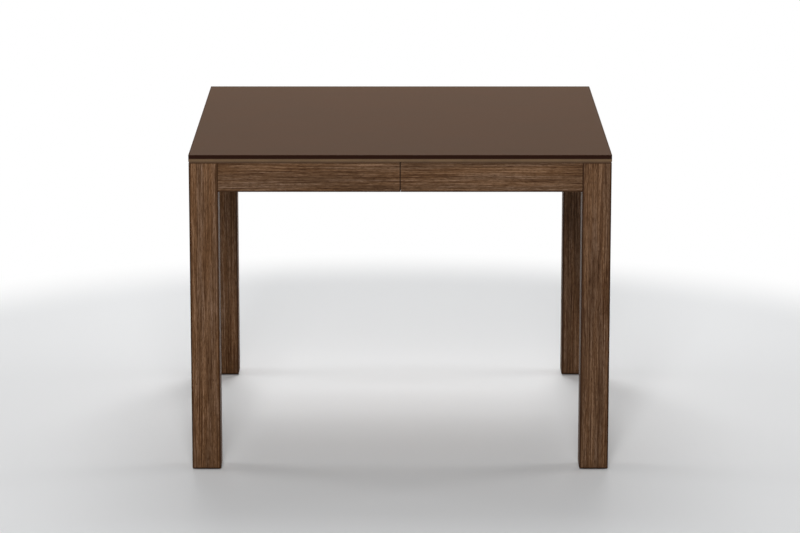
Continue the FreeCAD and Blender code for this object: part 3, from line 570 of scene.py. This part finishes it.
def beech_effect():
    """Beech with z along the grain: pale bands and streaks, and short dark ray flecks that stand in line."""
    tree, start, end = effect("beech_wood", {"Vector": PLACE, "Edge": ("Float", 0.0)}, SURFACE)
    bands = grain_noise(tree, start["Vector"], across=60.0, along=1.5, fineness=2.0, drift=2.2)
    streaks = grain_noise(tree, start["Vector"], across=420.0, along=9.0, fineness=3.0, drift=6.1)
    rays = grain_noise(tree, start["Vector"], across=1500.0, along=260.0, fineness=0.0, drift=8.8)
    tone = calc(tree, "MULTIPLY_ADD", streaks, 0.5, calc(tree, "MULTIPLY", bands, 0.5))
    colour = mixed(tree, ease(tree, tone, 0.35, 0.65), tint(178, 134, 96), tint(211, 172, 132))
    fleck = ease(tree, rays, 0.66, 0.78, 0.0, 0.65)
    colour = mixed(tree, fleck, colour, tint(128, 84, 54))
    worn = calc(tree, "MULTIPLY", start["Edge"], 0.25)
    colour = mixed(tree, worn, colour, tint(150, 108, 74))
    rough = calc(tree, "MULTIPLY_ADD", streaks, 0.2, 0.5)
    give(tree, end, Color=colour, Roughness=rough, Height=calc(tree, "SUBTRACT", streaks, fleck))
    return tree


beech_wood = beech_effect()
beech_arris_reach = 0.003


def beech(name, along, shape):
    """Planed beech with its grain along one axis, on a board of the given shape."""
    material, shader, places = finish_of(name, Specular_IOR_Level=0.3)
    tree = material.node_tree
    turned = node(tree, "Mapping", {"Vector": places, "Rotation": GRAIN_ALONG[along]}).outputs[0]
    edge = placed(tree, arris, {"Vector": places, **shape, "Reach": beech_arris_reach})["Edge"]
    look = placed(tree, beech_wood, {"Vector": turned, "Edge": edge})
    coat(material, shader, look["Color"], look["Roughness"], look["Height"], depth=0.0001, strength=0.3)
    return material


for rail in ("inner", "outer"):
    slat = beech(f"beech_rail_{rail}", "y", board_shape(*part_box(f"cross_rail_right_{rail}")))
    dress(slat, f"cross_rail_left_{rail}", f"cross_rail_right_{rail}")

# Runners
# Extruded aluminium, as it leaves the die: a lipped channel on each half, and between them a hollow beam
# that slides half as far. Nylon shoes run in the channels, and steel shims space them from the rails.

DIE_LINES = (6.0, 1400.0, 1400.0)
SAW_LINES = (900.0, 60.0, 900.0)
drawn_aluminium = metal(
    "drawn_aluminium", tint(205, 207, 210), tint(168, 170, 173), smooth=0.24, rough=0.42, lines=DIE_LINES)
cut_steel = metal(
    "cut_steel", tint(176, 178, 182), tint(132, 134, 138), smooth=0.3, rough=0.5, lines=SAW_LINES)
for where in ("front", "back"):
    dress(drawn_aluminium, f"runner_channel_{where}", f"runner_slide_{where}", f"runner_middle_{where}")
dress(nylon, "runner_shoes_fixed", "runner_shoes_moving", "runner_shoes_middle")
dress(cut_steel, "runner_shims_left", "runner_shims_right")

runner_screw_length = 0.0181
runner_screw_half_spacing = 0.013
rail_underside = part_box("cross_rail_right_inner")[0].z
CHANNELS = {"left": "runner_channel_back", "right": "runner_slide_back"}
for half, side, body in HALVES:
    channel_low, channel_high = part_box(CHANNELS[half])
    line = (channel_low.y + channel_high.y) / 2
    seats = []
    for rail in ("inner", "outer"):
        rail_low, rail_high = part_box(f"cross_rail_right_{rail}")
        middle = (rail_low.x + rail_high.x) / 2
        for step in (-runner_screw_half_spacing, runner_screw_half_spacing):
            seats += [(side * (middle + step), face * line, rail_underside) for face in (-1, 1)]
    ways = [(0, 0, 1)] * len(seats)
    screws(f"recessed_runner_screws_{half}", runner_screw_length, seats, ways, body, f"runner_screws_{half}")

# Bearers
# Beech strips screwed up into the top's board. They lie on the fixed channels and carry the top past the
# split.

bearer_low, bearer_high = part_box("top_bearer_back")
strip = beech("beech_bearer", "x", board_shape((-bearer_high.x, *bearer_low[1:]), bearer_high))
dress(strip, "top_bearer_front", "top_bearer_back")

bearer_overhang = 0.014
bearer_screw_length = 0.0175
bearer_screw_end_room = 0.040
bearer_screw_count = 4
bearer_screw_line = bearer_high.y - bearer_overhang / 2
bearer_screw_reach = bearer_high.x - bearer_screw_end_room
bearer_stations = np.linspace(-bearer_screw_reach, bearer_screw_reach, bearer_screw_count)
seats = [(x, face * bearer_screw_line, bearer_low.z) for face in (-1, 1) for x in bearer_stations]
ways = [(0, 0, 1)] * len(seats)
screws("recessed_bearer_screws", bearer_screw_length, seats, ways, "fixed_half", "bearer_screws")

# Locks
# Flat steel levers with a finger knob, black coated, each turning on a headed pin in a zinc plate that is
# screwed under the left inner rail. Swung out, the hook catches a stud under the right rail.

black_coat, black_shader, black_places = finish_of("black_coat", Specular_IOR_Level=0.5)
black_paint = {"Dark": tint(24, 24, 25), "Light": tint(40, 40, 42)}
look = placed(black_coat.node_tree, moulded, {"Vector": black_places, **black_paint})
coat(black_coat, black_shader, look["Color"], look["Roughness"], look["Height"], depth=0.00006, strength=0.6)
dress(black_coat, "lock_lever_front", "lock_lever_back")
dress(zinc, "lock_plates", "lock_pivots", "lock_studs")

plate_screw_length = 0.010
plate_screw_room = 0.0055
plate_low, plate_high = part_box("lock_plates")
plate_stations = (plate_low.x + plate_screw_room, plate_high.x - plate_screw_room)
plate_screw_line = plate_high.y - plate_screw_room
seats = [(x, face * plate_screw_line, plate_low.z) for face in (-1, 1) for x in plate_stations]
ways = [(0, 0, 1)] * len(seats)
screws("recessed_plate_screws", plate_screw_length, seats, ways, "fixed_half", "lock_plate_screws")

# Top board and leaf boards
# A thin board, lacquered brown to match the walnut, that the glass is bonded to. Its edge shows as a smooth
# strip under the glass. The two stored leaf halves have the same board.


def lacquer(name, shape, reach, deep, pale):
    """Sprayed satin lacquer: nearly even brown, with faint clouds and orange peel, and painted shade
    darkening the arrises.
    """
    material, shader, places = finish_of(name, Specular_IOR_Level=0.2)
    tree = material.node_tree
    cloud = grain_noise(tree, places, across=25.0, along=25.0, fineness=3.0)
    peel = grain_noise(tree, places, across=700.0, along=700.0, fineness=1.0, drift=2.0)
    edge = placed(tree, arris, {"Vector": places, **shape, "Reach": reach})["Edge"]
    colour = mixed(tree, ease(tree, cloud, 0.3, 0.7), deep, pale)
    # Painted shade along the arrises.
    colour = mixed(tree, calc(tree, "MULTIPLY", edge, 0.4), colour, tint(44, 28, 17))
    rough = calc(tree, "MULTIPLY_ADD", cloud, 0.15, 0.42)
    coat(material, shader, colour, rough, peel, depth=0.00005, strength=0.25)
    return material


board_arris_reach = 0.0015
BOARDS = {
    "brown_lacquer": "sub_top",
    "leaf_lacquer_lower": "leaf_board_lower",
    "leaf_lacquer_upper": "leaf_board_upper",
}
for name, board in BOARDS.items():
    shape = board_shape(*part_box(board))
    dress(lacquer(name, shape, board_arris_reach, tint(85, 64, 41), tint(93, 71, 47)), board)

# Rest strips and glide strips
# Low lacquered strips in the shadow gap, set back a little from the frame's faces. The top rests on the left
# ones, and the right ones slide under it.
# Their lacquer is darker than the board's, as painted shade in the gap.

strip_arris_reach = 0.0006
strip_low, strip_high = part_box("rest_strips_left")
strip_shape = board_shape(strip_low, (-strip_low.x, strip_high.y, strip_high.z))
# Darker tones than the board's: painted shade in the gap.
shaded_strip_lacquer = lacquer("shaded_strip_lacquer", strip_shape, strip_arris_reach, tint(65, 43, 22), tint(73, 50, 28))
dress(shaded_strip_lacquer, "rest_strips_left", "glide_strips_right")

# Glass
# One sheet of glass, etched satin on top and painted brown on its underside, with polished dark edges.
# The two leaf halves carry the same glass.

glass_rim_reach = 0.0045
glass_rim_share = 0.35


def painted_glass(name, shape):
    """Satin glass: the painted colour under a soft haze on the faces, dark and smooth on the ground edges. A
    little of that dark shows through the face along the arris."""
    material, shader, places = finish_of(name, Specular_IOR_Level=0.04)
    tree = material.node_tree
    upright = node(tree, "SeparateXYZ", {0: node(tree, "NewGeometry").outputs["True Normal"]}).outputs[2]
    side = ease(tree, calc(tree, "ABSOLUTE", upright), 0.3, 0.6, 1.0, 0.0)
    cloud = grain_noise(tree, places, across=7.0, along=7.0, fineness=3.0)
    etch = grain_noise(tree, places, across=1800.0, along=1800.0, fineness=1.0, drift=3.0)
    colour = mixed(tree, ease(tree, cloud, 0.3, 0.7), tint(80, 60, 45), tint(83, 62, 47))
    rim = placed(tree, arris, {"Vector": places, **shape, "Reach": glass_rim_reach})["Edge"]
    dark = calc(tree, "MAXIMUM", side, calc(tree, "MULTIPLY", rim, glass_rim_share))
    colour = mixed(tree, dark, colour, tint(34, 15, 7))
    rough = calc(tree, "MULTIPLY_ADD", cloud, 0.06, 0.62)
    rough = calc(tree, "MULTIPLY_ADD", side, -0.42, rough)
    coat(material, shader, colour, rough, etch, depth=0.00003, strength=0.2)
    return material


SHEETS = {
    "painted_glass": "glass_top",
    "leaf_painted_glass_lower": "leaf_glass_lower",
    "leaf_painted_glass_upper": "leaf_glass_upper",
}
for name, sheet in SHEETS.items():
    dress(painted_glass(name, board_shape(*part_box(sheet))), sheet)

# Leaf felts
# Strips of pressed wool felt, glued to the rails and between the leaf halves, that keep the stored leaf
# from rattling and scratching.

felt_width = 0.030
felt_length = 0.120
felt_thickness = 0.002
felt_round = 0.0008
felt_waver = 0.0002
FELT_WAVES = (23, 57)
felt_end_share = 0.35
felt_side_power = 0.12
felt_face_power = 0.45
felt_spokes = 40
felt_rings = 61
felt, felt_shader, felt_places = finish_of(
    "wool_felt", Specular_IOR_Level=0.1, Roughness=0.95, Sheen_Weight=0.4)
felt_tree = felt.node_tree
felt_clump = grain_noise(felt_tree, felt_places, across=260.0, along=260.0, fineness=4.0)
felt_threads = {"Vector": felt_places, "Scale": 2200.0, "Detail": 3.0, "Distortion": 2.5}
felt_fibre = node(felt_tree, "TexNoise", felt_threads).outputs[0]
felt_tone = calc(felt_tree, "MULTIPLY_ADD", felt_fibre, 0.6, calc(felt_tree, "MULTIPLY", felt_clump, 0.4))
felt_colour = mixed(felt_tree, ease(felt_tree, felt_tone, 0.35, 0.65), tint(66, 58, 52), tint(112, 101, 92))
coat(felt, felt_shader, felt_colour, None, felt_tone, depth=0.0004, strength=0.7)


def felt_shape():
    """A strip lying along y. Its section is a rounded slab: half width times cos, half thickness times sin,
    each to a small power so that the sides stay full. The width wavers along the strip and draws in at the
    two ends by a quarter circle."""
    turn = np.linspace(0, 2 * math.pi, felt_spokes, endpoint=False)
    along = np.sin(np.linspace(-math.pi / 2, math.pi / 2, felt_rings))
    end = np.clip((1 - np.abs(along)) * felt_length / 2 / felt_round, 0, 1)
    rounding = np.sqrt(1 - (1 - end) ** 2)
    wave = 1 + np.sin(along * FELT_WAVES[0]) * np.cos(along * FELT_WAVES[1])
    half_width = felt_width / 2 - felt_round * (1 - rounding) - felt_waver * wave
    half_height = felt_thickness / 2 * (felt_end_share + (1 - felt_end_share) * rounding)
    cos, sin = np.cos(turn), np.sin(turn)
    x = half_width[:, None] * np.sign(cos) * np.abs(cos) ** felt_side_power
    z = half_height[:, None] * np.sign(sin) * np.abs(sin) ** felt_face_power
    y = np.repeat(along[:, None] * felt_length / 2, felt_spokes, axis=1)
    return skin(np.stack([x, y, z], axis=-1))


felt_points, felt_sides, felt_fans = felt_shape()
leaf_low, leaf_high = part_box("leaf_board_lower")
felt_levels = [leaf_low.z - felt_thickness / 2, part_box("leaf_board_upper")[0].z - felt_thickness / 2]
felt_end = leaf_high.y - felt_length / 2
centres = []
for z in felt_levels:
    for rail in ("inner", "outer"):
        rail_low, rail_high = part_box(f"cross_rail_right_{rail}")
        centres += [((rail_low.x + rail_high.x) / 2, face * felt_end, z) for face in (-1, 1)]
strips = felt_points + np.array(centres)[:, None]
felts = piece("pressed_felts", strips, felt_sides, felt_fans, felt, "moving_half", "leaf_felts")

# Studio
# A pale matt floor that fades to white around the table, a soft lamp high in front, weaker ones at the
# sides, above and behind, and a white surround. The camera looks at the front from a little above, with a
# long lens.

WHITE = (1.0, 1.0, 1.0, 1.0)
floor_reach = 30.0
floor_fade_start = 1.5
floor_fade_end = 2.0
floor_mesh = bpy.data.meshes.new("floor")
floor_corners = [(-1, -1), (1, -1), (1, 1), (-1, 1)]
floor_points = [(x * floor_reach, y * floor_reach, 0.0) for x, y in floor_corners]
floor_mesh.from_pydata(floor_points, [], [(0, 1, 2, 3)])
floor = bpy.data.objects.new("floor", floor_mesh)
bpy.context.scene.collection.objects.link(floor)
floor_finish, floor_shader, floor_places = finish_of("pale_floor", Specular_IOR_Level=0.0, Roughness=0.9)
floor_shader.inputs["Base Color"].default_value = tint(231, 232, 233)
floor_tree = floor_finish.node_tree
floor_away = node(floor_tree, "VectorMath", {0: floor_places}, operation="LENGTH").outputs["Value"]
floor_fade = ease(floor_tree, floor_away, floor_fade_start, floor_fade_end)
floor_white = node(floor_tree, "Emission", {"Color": WHITE, "Strength": 1.0}).outputs[0]
floor_mix = node(floor_tree, "MixShader", {0: floor_fade, 1: floor_shader.outputs[0], 2: floor_white})
floor_tree.links.new(floor_mix.outputs[0], floor_tree.nodes["Material Output"].inputs["Surface"])
floor_mesh.materials.append(floor_finish)

world = bpy.data.worlds.new("white_surround")
bpy.context.scene.world = world
world.use_nodes = True
sky = world.node_tree
sky.nodes.clear()
rays = node(sky, "LightPath").outputs
seen = calc(sky, "MAXIMUM", rays["Is Camera Ray"], rays["Is Glossy Ray"])
seen = calc(sky, "MAXIMUM", seen, rays["Is Transmission Ray"])
lighting = node(sky, "Background", {"Color": WHITE, "Strength": 0.12}).outputs[0]
backdrop = node(sky, "Background", {"Color": WHITE, "Strength": 1.0}).outputs[0]
shown = node(sky, "MixShader", {0: seen, 1: lighting, 2: backdrop}).outputs[0]
sky.links.new(shown, node(sky, "OutputWorld").inputs["Surface"])


def softbox(name, place, target, width, height, power, mirrored):
    """A lamp with a flat face that is turned to its target. One that isn't mirrored makes no highlights."""
    lamp = bpy.data.lights.new(name, "AREA")
    lamp.shape = "RECTANGLE"
    lamp.size = width
    lamp.size_y = height
    lamp.energy = power
    made = bpy.data.objects.new(name, lamp)
    made.location = place
    made.visible_glossy = mirrored
    gaze = np.array(target) - np.array(place)
    level = math.hypot(gaze[0], gaze[1])
    made.rotation_euler = (math.pi / 2 + math.atan2(gaze[2], level), 0, math.atan2(-gaze[0], gaze[1]))
    bpy.context.scene.collection.objects.link(made)


frame_centre = (0.0, 0.0, 0.4)
top_centre = (0.0, 0.0, 0.7)
softbox("key_softbox", (-0.3, -8.0, 4.0), frame_centre, width=2.2, height=2.4, power=508.0, mirrored=True)
softbox("left_softbox", (-5.0, 0.6, 2.2), frame_centre, width=2.0, height=2.5, power=50.0, mirrored=False)
softbox("right_softbox", (5.0, 0.6, 2.2), frame_centre, width=2.0, height=2.5, power=50.0, mirrored=False)
softbox("top_softbox", (0.0, 3.2, 5.0), top_centre, width=3.0, height=3.0, power=119.0, mirrored=False)
softbox("back_softbox", (0.0, 2.2, 2.4), top_centre, width=1.6, height=1.0, power=24.0, mirrored=False)

camera_tilt = 12.333
camera_data = bpy.data.cameras.new("front_camera")
camera_data.sensor_width = 36.0
camera_data.lens = 153.9
camera_data.clip_end = 100.0
camera = bpy.data.objects.new("front_camera", camera_data)
camera.location = (-0.0004, -8.3496, 2.2130)
camera.rotation_euler = (math.radians(90 - camera_tilt), 0.0, 0.0)
bpy.context.scene.collection.objects.link(camera)
bpy.context.scene.camera = camera
bpy.context.scene.view_settings.view_transform = "Standard"
